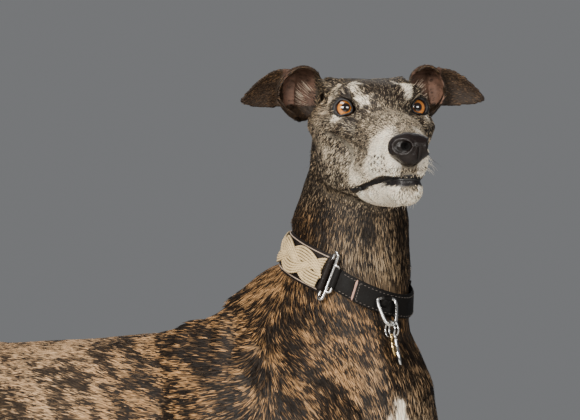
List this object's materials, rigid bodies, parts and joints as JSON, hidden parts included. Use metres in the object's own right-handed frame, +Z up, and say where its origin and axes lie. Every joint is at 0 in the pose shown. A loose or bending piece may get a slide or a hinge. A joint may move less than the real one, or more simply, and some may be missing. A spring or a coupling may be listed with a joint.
{
  "type": "greyhound",
  "caption": "Life-size standing greyhound, a still display model of the whole animal with its head turned aside, wearing a wide plaited leather collar with rings and tags.",
  "frame": {"origin": "on the floor, under the middle of the bounding box", "axes": "+X the way the body faces, +Y towards the dog's left side, +Z up"},
  "size_m": [0.9948, 0.2586, 0.9456],
  "materials": {
    "coat": "short smooth brindle coat, tan stripes on dark brown",
    "face": "short coat gone grey and white with age",
    "nose": "moist black nose leather with a fine pebble grain",
    "eyes": "clear wet eye with an amber iris and a black pupil",
    "collar leather": "dark brown leather, satin",
    "plait": "pale cream cord laid in flat strands",
    "steel": "plated steel wire and tag",
    "brass": "worn brass tag"
  },
  "bodies": {
    "root": {"lower_jaw": "face", "nose": "nose", "head": "face", "eye_left": "eyes", "ear_left": "coat", "eye_right": "eyes", "ear_right": "coat", "neck": "coat", "chest": "coat", "loin": "coat", "rump": "coat", "forearm_left": "coat", "front_pastern_left": "coat", "front_paw_left": "coat", "thigh_left": "coat", "lower_thigh_left": "coat", "rear_pastern_left": "coat", "rear_paw_left": "coat", "forearm_right": "coat", "front_pastern_right": "coat", "front_paw_right": "coat", "thigh_right": "coat", "lower_thigh_right": "coat", "rear_pastern_right": "coat", "rear_paw_right": "coat", "tail_root": "coat", "tail_middle": "coat", "tail_tip": "coat", "collar_band": "collar leather", "collar_plait": "plait", "collar_strap": "collar leather", "slide_right": "steel", "slide_left": "steel", "lead_ring": "steel", "split_ring_right": "steel", "split_ring_left": "steel", "tag_round": "brass", "tag_long": "steel"}
  },
  "joints": []
}
